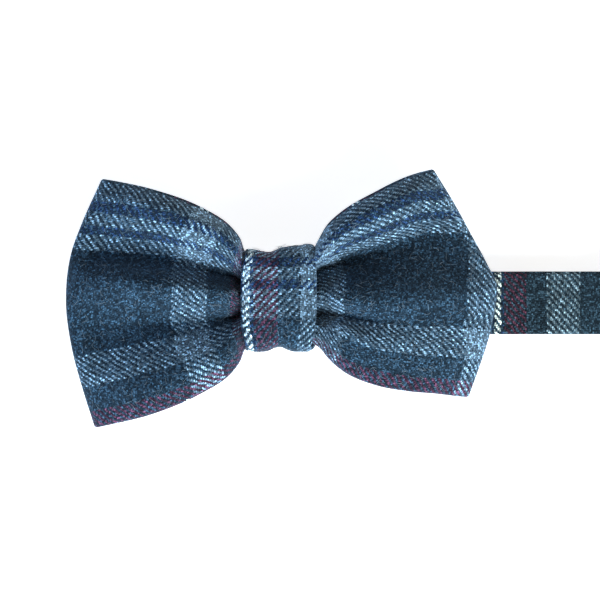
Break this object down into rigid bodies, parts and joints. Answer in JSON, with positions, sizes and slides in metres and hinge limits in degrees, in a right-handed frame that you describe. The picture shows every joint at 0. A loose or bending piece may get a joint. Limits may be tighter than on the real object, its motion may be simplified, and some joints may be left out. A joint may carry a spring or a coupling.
{
  "type": "bow tie",
  "caption": "Pre-tied tartan wool bow tie with a knot band, folded wings and an adjustable hook-and-eye neckband, lying face up with the band laid to one side.",
  "frame": {"origin": "under the middle of the knot, on the flat underside of the neckband's lower run, where the tie lies on a table", "axes": "+X along the bow towards the side the neckband is laid to, +Y towards the bow's top edge, +Z out of the bow's face"},
  "size_m": [0.2418, 0.0723, 0.0261],
  "materials": {
    "tartan_wool": "2/2 twill tartan wool, navy and grey-blue ground with teal-black, burgundy and off-white stripes, fuzzy",
    "interlining_felt": "off-white brushed woven interlining",
    "sewing_thread": "dark navy spun polyester thread",
    "plated_steel": "nickel-plated pressed steel, softly tumbled"
  },
  "bodies": {
    "root": {"bow_cloth": "tartan_wool", "left_wing_interlining": "interlining_felt", "right_wing_interlining": "interlining_felt", "waist_thread": "sewing_thread", "knot_wrap": "tartan_wool", "knot_lining": "interlining_felt", "knot_seam_stitches": "sewing_thread", "band_tack_stitches": "sewing_thread", "neckband": "tartan_wool", "neckband_stiffener": "interlining_felt", "hook_bar_tack": "sewing_thread", "run_slack": "tartan_wool"},
    "eye_end": {"eye_turn": "tartan_wool", "return_slack": "tartan_wool"},
    "slider": {"slider": "plated_steel", "return_strip": "tartan_wool", "slider_bar_tack": "sewing_thread"},
    "eye": {"eye": "plated_steel"},
    "hook": {"hook": "plated_steel"}
  },
  "joints": [
    {"name": "adjust_slide", "type": "slide", "parent": "root", "child": "eye_end", "axis": [1, 0, 0], "range_m": [-0.0375, 0.005], "deforming": ["run_slack"]},
    {"name": "slider_slide", "type": "slide", "parent": "eye_end", "child": "slider", "axis": [1, 0, 0], "range_m": [-0.0375, 0.005], "deforming": ["return_slack"]},
    {"name": "eye_swing", "type": "hinge", "parent": "eye_end", "child": "eye", "pos_m": [0.134, 0, 0.00438], "axis": [0, -1, 0], "range_deg": [0, 155]},
    {"name": "hook_swing", "type": "hinge", "parent": "root", "child": "hook", "pos_m": [0.16385, 0, 0.0025], "axis": [0, -1, 0], "range_deg": [0, 110]}
  ],
  "couplings": [
    {"joint": "slider_slide", "follows": "adjust_slide", "ratio": 1}
  ]
}
